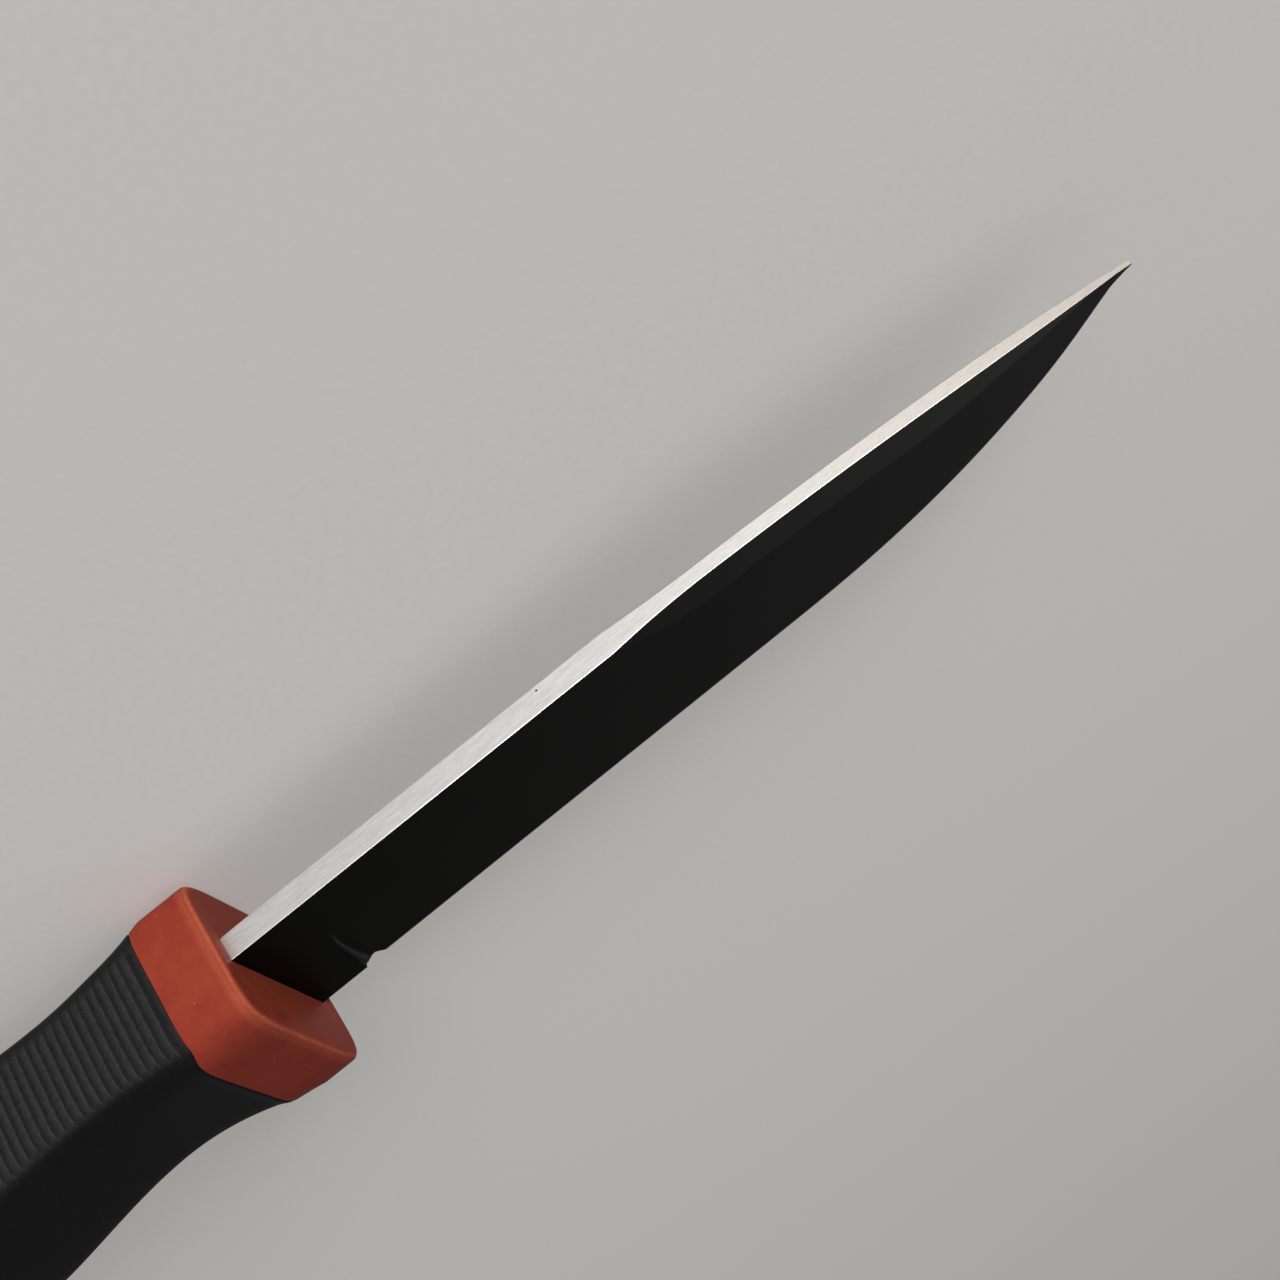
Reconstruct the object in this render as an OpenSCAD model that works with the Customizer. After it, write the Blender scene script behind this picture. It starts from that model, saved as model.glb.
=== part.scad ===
// Fixed-blade knife with a hidden tang, lying on its left side.
// +X runs from the butt to the tip, +Y from the edge to the spine, +Z up out of the right-hand face.
// The origin is the middle of the knife's outline, on the surface that it lies on.

/* [Blade] */
// Length of the blade from the front of the bolster to the tip
blade_length = 154; // [130:1:190]
// Height of the blade from the straight spine to the edge
blade_height = 29.4; // [28.6:0.2:31]
// Thickness of the steel at the spine
blade_thickness = 3.8; // [3:0.1:5]
// Height of the unground heel of the blade at the bolster
ricasso_height = 26.4; // [23:0.2:27.6]
// Length of the unground heel in front of the bolster
ricasso_length = 8; // [5:0.5:14]
// Distance along the edge over which the heel steps down to the full height
notch_length = 3; // [2.5:0.1:5]
// Distance along the blade over which the grind runs out at the heel
plunge_length = 1.5; // [1:0.1:2.4]
// Distance from the spine down to the top of the main grind
flat_height = 11; // [7:0.5:15]
// Thickness of the steel just above the sharpened edge
edge_thickness = 0.5; // [0.3:0.1:0.9]
// Height of the sharpened edge bevel
bevel_height = 0.8; // [0.5:0.1:1.4]
// Place along the edge where the belly starts to rise
belly_start = 88; // [70:1:100]
// Power of the belly's curve, higher is straighter before the tip
belly_power = 2.35; // [2:0.05:3]

/* [Clip and swedge] */
// Place along the spine where the clip and its two bevels start
clip_start = 65; // [50:1:80]
// Distance that the spine has dropped at the tip
tip_drop = 8.2; // [5:0.2:12]
// Power of the spine's curve towards the tip
clip_power = 1.85; // [1.5:0.05:2.4]
// Length over which each swedge bevel reaches its full depth
swedge_entry = 16; // [10:1:24]
// Thickness left on top between the two swedge bevels
swedge_land = 2.3; // [1.6:0.1:2.8]
// Greatest height of a swedge bevel below the spine
swedge_height = 4.5; // [3:0.1:5.5]
// Length before the tip over which the land narrows to a point
land_taper = 39; // [28:1:48]

/* [Tang] */
// Depth that the full-height blade sits in the bolster
seat_depth = 4; // [3:0.2:4.6]
// Height of the tang where it leaves the blade
tang_height = 14; // [11:0.5:15]
// Height of the flat tang at its rear end
tang_end_height = 9; // [7:0.5:10.5]
// Length of the flat tang behind the bolster
tang_length = 90; // [80:1:93]
// Diameter of the round tang end that takes the nut
stud_diameter = 3.8; // [3:0.1:4.4]

/* [Bolster] */
// Length of the bolster along the knife
bolster_length = 10; // [9:0.5:14]
// Width of the bolster across the blade's thickness
bolster_width = 24.6; // [24:0.2:28]
// Height of the bolster from its spine side to its edge side
bolster_height = 34.2; // [33.6:0.2:38]
// Distance from the bolster's top down to the blade's spine
spine_margin = 3.6; // [2.6:0.2:4]
// Radius round the front edge of the bolster
front_radius = 1.1; // [0.8:0.1:2]
// Length of the bolster's rear that already runs in towards the finger hollow
guard_run = 4; // [2:0.5:5]
// Power of the handle's oval section, higher is closer to a rectangle
oval_power = 6; // [4:1:8]

/* [Grip] */
// Length of the rubber grip
grip_length = 102; // [96:1:120]
// Width of the grip at the waist behind the bolster
waist_width = 19.2; // [18.6:0.2:24]
// Width of the grip at the palm
palm_width = 22.8; // [20:0.2:24.4]
// Width of the grip in front of the butt
neck_width = 20.8; // [19:0.2:24]
// Hollow for the index finger on the edge side
finger_hollow = 5.2; // [3:0.1:5.6]
// Hollow for the little finger on the edge side
heel_hollow = 2; // [1:0.1:3]
// Sag of the spine side at the middle of the grip
back_sag = 1; // [0.4:0.1:2]
// Distance from one groove to the next
groove_pitch = 1.5; // [1.3:0.05:2.4]
// Depth of a groove
groove_depth = 0.45; // [0.25:0.05:0.7]
// Distance from each end of the grip to the first groove
groove_margin = 1.2; // [1.2:0.1:4]

/* [Core] */
// Thickness of the grip's hard core across the blade
core_thickness = 15; // [14:0.5:16]
// Wall of the core above and below the tang
core_wall = 3.2; // [2.6:0.1:3.4]
// Diameter of the cross pins through the core and the tang
pin_diameter = 4; // [3:0.1:4.6]
// Diameter of the two dowels between the bolster and the core
dowel_diameter = 2.4; // [2:0.1:2.6]
// Length of each dowel
dowel_length = 8; // [6:0.5:8.4]
// Thickness of the gasket between the bolster and the core
gasket_thickness = 0.8; // [0.5:0.1:1]

/* [Butt] */
// Length of the butt cap behind the grip
butt_length = 14; // [13:0.5:18]
// Width of the butt cap across the blade's thickness
butt_width = 24.6; // [24.4:0.2:28]
// Height of the butt cap from its spine side to its edge side
butt_height = 34.2; // [31:0.2:37]
// Radius round the rear edge of the butt cap
rear_radius = 3.6; // [2:0.1:4]
// Diameter of the round nut on the tang
nut_diameter = 9; // [8:0.1:9.4]
// Thickness of the nut
nut_thickness = 4; // [3:0.1:4.4]
// Thickness of the washer under the nut
washer_thickness = 0.8; // [0.5:0.1:1]
// Depth of the pocket in the rear of the butt cap that holds the nut
nut_pocket_depth = 6.6; // [6:0.1:7.6]
// Bore of the lanyard tube
lanyard_bore = 6; // [4:0.1:6.2]
// Wall of the lanyard tube
lanyard_wall = 0.5; // [0.3:0.05:0.6]

/* [Hidden] */
$fn = 64;

// Clearances, each on every side of the piece that goes in
blade_clearance = 0.15;
core_clearance = 0.1;
pin_clearance = 0.05;
stud_clearance = 0.3;
nut_clearance = 0.4;
// A cut runs past the faces it cuts by this much
overrun = 1;

// Steel that the tang's sides lose in cleaning up
tang_relief = 0.1;
// Overlap that roots one part of a forging in the next
root_overlap = 2;
// Half thickness at the very edge, and height left at the very tip
edge_half = 0.05;
tip_height = 0.3;
// Least height of any band of the blade's section
least_band = 0.05;
// Depth of the heel's step at the start of the edge, as a share of the drop to the edge
heel_step_share = 0.5;
// Distance over which the heel steps down, as a share of the notch
heel_run_share = 0.2;
// End of the notch's floor, as a share of the notch
notch_floor_share = 0.55;
// Rings along the blade
ground_rings = 40;
plunge_rings = 5;

// The handle's oval is a superellipse in this many points
ring_points = 40;
ring_turn = 360 / ring_points;
ring_trim = pow(cos(ring_turn / 2), 2 / oval_power);
// Rings in a rounded end, along the guard and along the grip
round_rings = 6;
guard_rings = 4;
grip_rings = 34;
// Places along the grip of the waist, the palm and the neck, and on the edge side of the two hollows
place_shares = [0, 0.18, 0.52, 0.84, 1];
hollow_shares = [0, 0.14, 0.5, 0.84, 1];
back_sag_shares = [0, 0.8, 0.9, 1, 0];
// Steep front and flat crown of the rib behind a groove, as shares of the pitch and of the depth.
// The crown is held just above the rubber, which leaves its surface whole there.
rib_shares = [[0, -1], [0.2, 0.1], [0.5, 0.1]];
// Place of the round edge of the grip core
core_corner = 2.5;
// Length of the butt cap's spigot in the rubber
spigot_length = 4;
// Places of the two cross pins along the grip
pin_shares = [0.24, 0.68];
// Washer and nut details
slot_width = 1.2;
slot_depth = 1;
nut_chamfer = 0.5;
washer_trim = 0.3;
// Steel between the nut pocket and the lanyard tube
lanyard_land = 1.8;
// The lanyard tube stays this far inside the sides of the butt cap
tube_recess = 0.2;

// Places along the knife
bolster_rear = -bolster_length;
grip_rear = bolster_rear - grip_length;
butt_rear = grip_rear - butt_length;
core_rear = grip_rear + spigot_length;
core_front = bolster_rear - gasket_thickness;
dowel_front = bolster_rear + dowel_length / 2;
flat_tang_rear = bolster_rear - tang_length;
nut_pocket_floor = butt_rear + nut_pocket_depth;
nut_front = nut_pocket_floor - washer_thickness;
nut_rear = nut_front - nut_thickness;
stud_rear = nut_rear + slot_depth + nut_chamfer;

// Heights of the blade in the handle
spine_y = bolster_height / 2 - spine_margin;
edge_y = spine_y - blade_height;
heel_y = spine_y - ricasso_height;
tip_y = spine_y - tip_drop;
tang_y = (spine_y + heel_y) / 2;
tang_thickness = blade_thickness - 2 * tang_relief;

// Grip core and sleeve
core_height = tang_height + 2 * core_wall;
dowel_z = (tang_thickness + core_thickness) / 4;

// Lanyard tube
tube_radius = lanyard_bore / 2 + lanyard_wall;
nut_pocket_radius = nut_diameter / 2 + nut_clearance;
tube_y = tang_y - nut_pocket_radius - lanyard_land - tube_radius;
tube_x = grip_rear - butt_length / 2;

// Reach of the handle from its axis at five places, on its sides, its back and its edge side
places = place_shares * grip_length;
hollow_places = [for (share = hollow_shares) share == 0 ? -guard_run : share * grip_length];
side_reach = [bolster_width, waist_width, palm_width, neck_width, butt_width] / 2;
back_reach = [for (share = place_shares) half_height(share)] - back_sag * back_sag_shares;
belly_reach = [for (share = hollow_shares) half_height(share)] - [0, finger_hollow, 0, heel_hollow, 0];

// Middle of the whole outline
middle_x = (blade_length + butt_rear) / 2;
top_y = max(max(back_reach), spine_y);
low_y = min(-max(belly_reach), edge_y);
middle_y = (top_y + low_y) / 2;
rest_z = max(side_reach);

// Smooth step from 0 to 1, and a step that starts steep and ends level
function ease(u) = (1 - cos(180 * u)) / 2;
function ease_out(u) = u * (2 - u);
function clamp01(u) = min(1, max(0, u));
function mix(a, b, u) = a + (b - a) * u;

// Height of the spine and of the edge at a place along the blade
function clip_share(x) = clamp01((x - clip_start) / (blade_length - clip_start));
function spine_at(x) = spine_y - tip_drop * pow(clip_share(x), clip_power);
function belly_share(x) = clamp01((x - belly_start) / (blade_length - belly_start));
function ground_edge_at(x) =
    edge_y + (tip_y - tip_height - edge_y) * pow(belly_share(x), belly_power);
function notch_share(x) = clamp01((x - ricasso_length) / notch_length);
function notch_at(u) =
    u <= heel_run_share ? u / heel_run_share * heel_step_share :
    u <= notch_floor_share ? heel_step_share :
    mix(heel_step_share, 1, (u - notch_floor_share) / (1 - notch_floor_share));
function edge_at(x) = mix(heel_y, ground_edge_at(x), notch_at(notch_share(x)));

// The main grind is a plane on each side that ends at the edge bevel's shoulder
grind_slope = (blade_thickness - edge_thickness) / 2 / (blade_height - bevel_height - flat_height);
swedge_slope = (blade_thickness - swedge_land) / 2 / swedge_height;
// The grind's full depth is reached over the plunge, along a quarter circle
function plunge_at(x) = let (u = 1 - clamp01((x - ricasso_length) / plunge_length)) sqrt(1 - u * u);
function land_half(x) =
    let (full = blade_thickness / 2,
         cut = (blade_thickness - swedge_land) / 2 * ease_out(clamp01((x - clip_start) / swedge_entry)),
         v = clamp01((x - blade_length + land_taper) / land_taper))
    (full - cut) * sqrt(1 - v * v);
function grind_half(x, up) = edge_thickness / 2 + grind_slope * up;

// One ring of the blade: spine corner, foot of the swedge, top of the grind, shoulder, edge
function blade_ring(x) =
    let (full = blade_thickness / 2,
         depth = plunge_at(x),
         top = spine_at(x),
         low = edge_at(x),
         bevel = min(bevel_height, (top - low) / 4),
         room = top - low - bevel,
         land = max(edge_half, min(land_half(x), grind_half(x, room))),
         meet = (grind_half(x, room) - land) / (swedge_slope + grind_slope),
         swedge = max(least_band, min((full - land) / swedge_slope, meet, room / 2)),
         swedge_half = min(full, land + swedge_slope * swedge, grind_half(x, room - swedge)),
         flat = max(swedge + least_band, min(room - (full - edge_thickness / 2) / grind_slope, room - least_band)),
         flat_half = min(full, grind_half(x, room - flat)),
         ys = [top, top - swedge, top - flat, low + bevel, low],
         halves = [land, swedge_half, mix(full, flat_half, depth),
                   mix(full, edge_thickness / 2, depth), mix(full, edge_half, depth)])
    concat([for (i = [0:4]) [x, ys[i], -halves[i]]],
           [for (i = [4:-1:0]) [x, ys[i], halves[i]]]);

// Half height of the handle without its hollows, at a share of the grip
function half_height(share) = mix(bolster_height, butt_height, clamp01(share)) / 2;
// Reach of the handle at a place along it, from its reaches at the five places, which are counted
// from the bolster's rear. It leaves the first at a slope and passes the others level.
function reach_at(x, reaches, places) =
    let (d = bolster_rear - x,
         i = d < places[1] ? 0 : d < places[2] ? 1 : d < places[3] ? 2 : 3,
         u = clamp01((d - places[i]) / (places[i + 1] - places[i])))
    mix(reaches[i], reaches[i + 1], i == 0 ? ease_out(u) : ease(u));
function oval(t) = sign(t) * pow(abs(t), 2 / oval_power) / ring_trim;
function handle_ring(x, inset = 0) =
    let (side = reach_at(x, side_reach, places) - inset,
         back = reach_at(x, back_reach, places) - inset,
         belly = reach_at(x, belly_reach, hollow_places) - inset)
    [for (k = [0:ring_points - 1])
        let (t = ring_turn * (k + 0.5))
        [x, (sin(t) > 0 ? back : belly) * oval(sin(t)), side * oval(cos(t))]];

// A closed skin over a list of rings that all run the same way round. Each end is closed by
// strips from every point to the one opposite it.
module loft(rings) {
    n = len(rings[0]);
    last = len(rings) - 1;
    skin = [for (j = [0:last - 1], k = [0:n - 1])
        let (m = (k + 1) % n)
        each [[j * n + k, j * n + m, (j + 1) * n + m], [j * n + k, (j + 1) * n + m, (j + 1) * n + k]]];
    caps = [for (k = [0:n / 2 - 2])
        let (m = n - 1 - k, end = last * n)
        each [[k, m, m - 1], [k, m - 1, k + 1],
              [end + k, end + k + 1, end + m - 1], [end + k, end + m - 1, end + m]]];
    polyhedron([for (ring = rings) each ring], concat(skin, caps), convexity = 6);
}

// Draws a flat outline in Y and Z, and pulls it along X
module along_x(from, to) {
    translate([from, 0, 0])
        rotate([90, 0, 90])
            linear_extrude(to - from)
                children();
}

module rounded_bar(height, width, corner) {
    square([height - 2 * corner, width], center = true);
    square([height, width - 2 * corner], center = true);
    for (y = [-1, 1], z = [-1, 1])
        translate([y * (height / 2 - corner), z * (width / 2 - corner)])
            circle(corner);
}

// A round bar along X, and one across the blade along Z
module rod_x(from, to, diameter) {
    along_x(from, to)
        translate([tang_y, 0])
            circle(d = diameter);
}

module rod_z(x, y, half, diameter) {
    translate([x, y, 0])
        cylinder(h = 2 * half, d = diameter, center = true);
}

module place() {
    translate([-middle_x, -middle_y, rest_z])
        children();
}

// Outline of the flat tang, seen from the side, grown by a clearance
module tang_outline(front, grow = 0) {
    polygon([[front, tang_y + tang_height / 2 + grow], [flat_tang_rear - grow, tang_y + tang_end_height / 2 + grow],
             [flat_tang_rear - grow, tang_y - tang_end_height / 2 - grow], [front, tang_y - tang_height / 2 - grow]]);
}

module tang_solid(front, grow = 0) {
    translate([0, 0, -tang_thickness / 2 - grow])
        linear_extrude(tang_thickness + 2 * grow)
            tang_outline(front, grow);
}

// Outline of a slot that a bar of steel passes through, and the channel for the tang
module slot_outline(height, thickness) {
    translate([tang_y, 0])
        square([height, thickness] + 2 * blade_clearance * [1, 1], center = true);
}

module tang_channel(from, to) {
    along_x(from, to)
        slot_outline(tang_height, tang_thickness);
}

function pin_x(share) = bolster_rear - share * grip_length;

module blade_body() {
    plunge_end = ricasso_length + plunge_length;
    notch_end = ricasso_length + notch_length;
    stations = concat([-seat_depth],
        [for (i = [0:plunge_rings]) ricasso_length + plunge_length * (1 - cos(90 * i / plunge_rings))],
        [notch_end, (notch_end + clip_start) / 2],
        [for (i = [0:ground_rings - 1]) mix(clip_start, blade_length, sin(90 * i / ground_rings))],
        [blade_length]);
    loft([for (x = stations) blade_ring(x)]);
}

module blade() {
    color("dimgray")
        place()
            difference() {
                union() {
                    blade_body();
                    tang_solid(-seat_depth + root_overlap);
                    rod_x(stud_rear, flat_tang_rear + root_overlap, stud_diameter);
                }
                for (share = pin_shares)
                    rod_z(pin_x(share), tang_y, blade_thickness, pin_diameter + 2 * pin_clearance);
            }
}

module tang_gasket() {
    color("gray")
        place()
            difference() {
                core_bar(core_front, bolster_rear);
                tang_channel(core_front - overrun, bolster_rear + overrun);
                dowel_holes();
            }
}

module bolster() {
    color("firebrick")
        place()
            difference() {
                loft(concat([for (i = [0:guard_rings]) handle_ring(bolster_rear + guard_run * i / guard_rings)],
                    [for (i = [0:round_rings])
                        let (a = 90 * i / round_rings)
                        handle_ring(-front_radius * (1 - sin(a)), front_radius * (1 - cos(a)))]));
                along_x(-seat_depth, overrun)
                    slot_outline(ricasso_height, blade_thickness);
                tang_channel(bolster_rear - overrun, 0);
                dowel_holes();
            }
}

module dowel_holes() {
    for (side = [-1, 1])
        translate([0, 0, side * dowel_z])
            rod_x(dowel_front - dowel_length - pin_clearance, dowel_front + pin_clearance,
                  dowel_diameter + 2 * pin_clearance);
}

module bolster_dowels() {
    color("lightgray")
        place()
            for (side = [-1, 1])
                translate([0, 0, side * dowel_z])
                    rod_x(dowel_front - dowel_length, dowel_front, dowel_diameter);
}

module core_bar(from, to, grow = 0) {
    along_x(from, to)
        translate([tang_y, 0])
            rounded_bar(core_height + 2 * grow, core_thickness + 2 * grow, core_corner + grow);
}

module grip_core() {
    color("darkslategray")
        place()
            difference() {
                core_bar(core_rear, core_front);
                tang_channel(core_rear - overrun, core_front + overrun);
                rod_x(core_rear - overrun, flat_tang_rear + root_overlap + overrun,
                      stud_diameter + 2 * stud_clearance);
                for (share = pin_shares)
                    rod_z(pin_x(share), tang_y, core_thickness, pin_diameter + 2 * pin_clearance);
                dowel_holes();
            }
}

module tang_pins() {
    color("lightgray")
        place()
            for (share = pin_shares)
                rod_z(pin_x(share), tang_y, core_thickness / 2, pin_diameter);
}

// A comb of grooves along one side of the grip, cut straight across it. Each groove starts at the end
// of a long slope and stops at the steep front of the next rib.
module groove_comb(reaches, places) {
    last = floor((grip_length - 2 * groove_margin) / groove_pitch);
    first_x = bolster_rear - groove_margin;
    start = rib_shares[2] - [1, 0];
    teeth = [for (rib = concat([start], [for (i = [0:last], share = rib_shares) share + [i, 0]]))
        let (x = first_x - rib[0] * groove_pitch)
        [x, reach_at(x, reaches, places) + rib[1] * groove_depth]];
    top = max(reaches) + groove_pitch;
    translate([0, 0, -bolster_width])
        linear_extrude(2 * bolster_width)
            polygon(concat([[teeth[0][0], top]], teeth, [[teeth[len(teeth) - 1][0], top]]));
}

module grip_sleeve() {
    color("#202020")
        place()
            difference() {
                loft([for (i = [grip_rings:-1:0]) handle_ring(bolster_rear - grip_length * i / grip_rings)]);
                core_bar(grip_rear - overrun, bolster_rear + overrun, core_clearance);
                groove_comb(back_reach, places);
                mirror([0, 1, 0])
                    groove_comb(belly_reach, hollow_places);
            }
}

module butt_cap() {
    color("#2a2a2a")
        place()
            difference() {
                union() {
                    loft(concat([for (i = [round_rings:-1:0])
                            let (a = 90 * i / round_rings)
                            handle_ring(butt_rear + rear_radius * (1 - sin(a)), rear_radius * (1 - cos(a)))],
                        [handle_ring(grip_rear)]));
                    core_bar(grip_rear - root_overlap, grip_rear + spigot_length);
                }
                rod_x(butt_rear - overrun, core_rear + overrun, stud_diameter + 2 * stud_clearance);
                rod_x(butt_rear - overrun, nut_pocket_floor, 2 * nut_pocket_radius);
                rod_z(tube_x, tube_y, butt_width, 2 * (tube_radius + pin_clearance));
            }
}

// Half width of the butt cap at the height of the lanyard tube
tube_share = abs(tube_y) / belly_reach[4];
tube_half = side_reach[4] * pow(1 - pow(tube_share, oval_power), 1 / oval_power) - tube_recess;

module lanyard_tube() {
    color("silver")
        place()
            difference() {
                rod_z(tube_x, tube_y, tube_half, 2 * tube_radius);
                rod_z(tube_x, tube_y, tube_half + overrun, lanyard_bore);
            }
}

module tang_washer() {
    color("silver")
        place()
            difference() {
                rod_x(nut_front, nut_pocket_floor, nut_diameter + washer_trim);
                rod_x(nut_front - overrun, nut_pocket_floor + overrun, stud_diameter + 2 * stud_clearance);
            }
}

module tang_nut() {
    color("lightgray")
        place()
            difference() {
                translate([nut_rear, tang_y, 0])
                    rotate([0, 90, 0])
                        union() {
                            cylinder(h = nut_chamfer, d1 = nut_diameter - 2 * nut_chamfer, d2 = nut_diameter);
                            translate([0, 0, nut_chamfer])
                                cylinder(h = nut_thickness - nut_chamfer, d = nut_diameter);
                        }
                rod_x(nut_rear - overrun, nut_front + overrun, stud_diameter + 2 * pin_clearance);
                translate([nut_rear, tang_y, 0])
                    cube([2 * slot_depth, slot_width, 2 * nut_diameter], center = true);
            }
}

blade();
tang_gasket();
bolster();
bolster_dowels();
grip_core();
tang_pins();
grip_sleeve();
butt_cap();
lanyard_tube();
tang_washer();
tang_nut();
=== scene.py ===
# %% [markdown]
# # A fixed-blade knife, dressed around its CAD frame
#
# The knife lies on its left side. +X runs from the butt to the tip, +Y from the cutting edge to the
# spine, and +Z up out of the blade's right-hand face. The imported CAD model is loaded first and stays
# as it is. Every surface that shows gets a finer skin or a better finish around it.

import bpy
import numpy as np
from mathutils import Matrix, Vector


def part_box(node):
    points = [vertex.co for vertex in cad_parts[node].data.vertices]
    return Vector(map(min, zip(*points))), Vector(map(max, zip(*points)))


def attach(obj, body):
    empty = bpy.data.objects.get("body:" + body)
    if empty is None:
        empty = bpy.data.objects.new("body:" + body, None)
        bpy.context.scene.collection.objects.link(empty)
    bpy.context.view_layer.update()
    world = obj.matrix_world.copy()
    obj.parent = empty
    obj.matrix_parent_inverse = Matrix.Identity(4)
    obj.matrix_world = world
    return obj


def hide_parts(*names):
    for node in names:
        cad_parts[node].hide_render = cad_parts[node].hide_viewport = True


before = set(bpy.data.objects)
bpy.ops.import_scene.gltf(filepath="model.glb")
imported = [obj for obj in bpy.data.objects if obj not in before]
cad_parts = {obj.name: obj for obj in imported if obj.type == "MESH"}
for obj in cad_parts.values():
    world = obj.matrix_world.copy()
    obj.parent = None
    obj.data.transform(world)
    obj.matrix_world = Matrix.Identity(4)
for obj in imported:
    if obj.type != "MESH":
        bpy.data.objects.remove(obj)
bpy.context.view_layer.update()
print("nodes:", ", ".join(sorted(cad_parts)))

# %% [markdown]
# ## Sizes
#
# All sizes are the CAD model's own, in millimetres. Places along the knife are counted from the
# front face of the bolster, and heights from the handle's axis. `PLACE` is where that point lies in
# the frame, read off the bolster's box, so the new skins sit exactly on the nodes they stand for.

# %% Sizes in millimetres
MM = 0.001

BLADE_LENGTH, BLADE_HEIGHT, BLADE_THICKNESS = 154.0, 29.4, 3.8
RICASSO_HEIGHT, RICASSO_LENGTH, NOTCH_LENGTH, PLUNGE_LENGTH = 26.4, 8.0, 3.0, 1.5
FLAT_HEIGHT, EDGE_THICKNESS, BEVEL_HEIGHT = 11.0, 0.5, 0.8
BELLY_START, BELLY_POWER = 88.0, 2.35
CLIP_START, TIP_DROP, CLIP_POWER, TIP_HEIGHT = 65.0, 8.2, 1.85, 0.3
TIP_UPTURN, TIP_RUN = 2.2, 18.0
SWEDGE_ENTRY, SWEDGE_LAND, SWEDGE_HEIGHT, LAND_TAPER = 16.0, 2.3, 4.5, 39.0
SEAT_DEPTH, TANG_LENGTH, TANG_HEIGHT, TANG_END_HEIGHT = 4.0, 90.0, 14.0, 9.0
TANG_THICKNESS, STUD_DIAMETER = 3.6, 3.8

BOLSTER_LENGTH, BOLSTER_WIDTH, BOLSTER_HEIGHT = 10.0, 24.6, 34.2
SPINE_MARGIN, FRONT_RADIUS, GUARD_RUN, OVAL_POWER = 3.6, 1.1, 4.0, 6.0
GRIP_LENGTH = 102.0
GROOVE_PITCH, GROOVE_DEPTH, GROOVE_MARGIN = 1.5, 0.45, 1.2
CORE_HEIGHT, CORE_THICKNESS, CORE_CORNER = 20.4, 15.0, 2.5
BUTT_LENGTH, BUTT_WIDTH, REAR_RADIUS = 14.0, 24.6, 3.6
NUT_POCKET_DEPTH, NUT_POCKET_RADIUS, STUD_HOLE_RADIUS = 6.6, 4.9, 2.2
LANYARD_TUBE_RADIUS = 3.5

SPINE_Y = BOLSTER_HEIGHT / 2 - SPINE_MARGIN
EDGE_Y = SPINE_Y - BLADE_HEIGHT
HEEL_Y = SPINE_Y - RICASSO_HEIGHT
TIP_Y = SPINE_Y - TIP_DROP
TANG_Y = (SPINE_Y + HEEL_Y) / 2
GRIP_REAR = -BOLSTER_LENGTH - GRIP_LENGTH
BUTT_REAR = GRIP_REAR - BUTT_LENGTH

low, high = (np.array(corner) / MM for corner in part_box("bolster"))
PLACE = np.array([high[0], (low[1] + high[1]) / 2, (low[2] + high[2]) / 2])
print("bolster front and handle axis at", PLACE.round(3), "mm")

# %% [markdown]
# ## From arrays to a mesh
#
# Every new piece is a skin: rings of points, one after the other, each with the same number of
# points. Neighbouring points of neighbouring rings make a four-sided face. A skin is closed at its
# ends by a fan to a pole, or it runs back into its own first ring like the skin of a tube. Its signed
# volume tells whether the faces point outwards, and if they don't they are turned round.

# %% Skin a stack of rings
def ease(u):
    """A smooth step from 0 to 1: half a cosine wave."""
    return (1 - np.cos(np.pi * np.clip(u, 0, 1))) / 2


def ease_out(u):
    """A step from 0 to 1 that starts steep and ends level: u (2 - u)."""
    return np.clip(u, 0, 1) * (2 - np.clip(u, 0, 1))


def ring_faces(rings, points, wrap):
    """Faces between each ring and the next: corners (r, k), (r, k+1), (r+1, k+1), (r+1, k)."""
    r, k = np.meshgrid(np.arange(rings if wrap else rings - 1), np.arange(points), indexing="ij")
    r_next, k_next = (r + 1) % rings, (k + 1) % points
    corners = [r * points + k, r * points + k_next, r_next * points + k_next, r_next * points + k]
    return np.stack(corners, axis=-1).reshape(-1, 4)


def signed_volume(points, faces):
    """Sum of the volumes of the tetrahedra from the origin to each triangle of the faces."""
    a, b, c = points[faces[:, 0]], points[faces[:, 1]], points[faces[:, 2]]
    return np.einsum("ij,ij->i", a, np.cross(b, c)).sum() / 6


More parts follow.
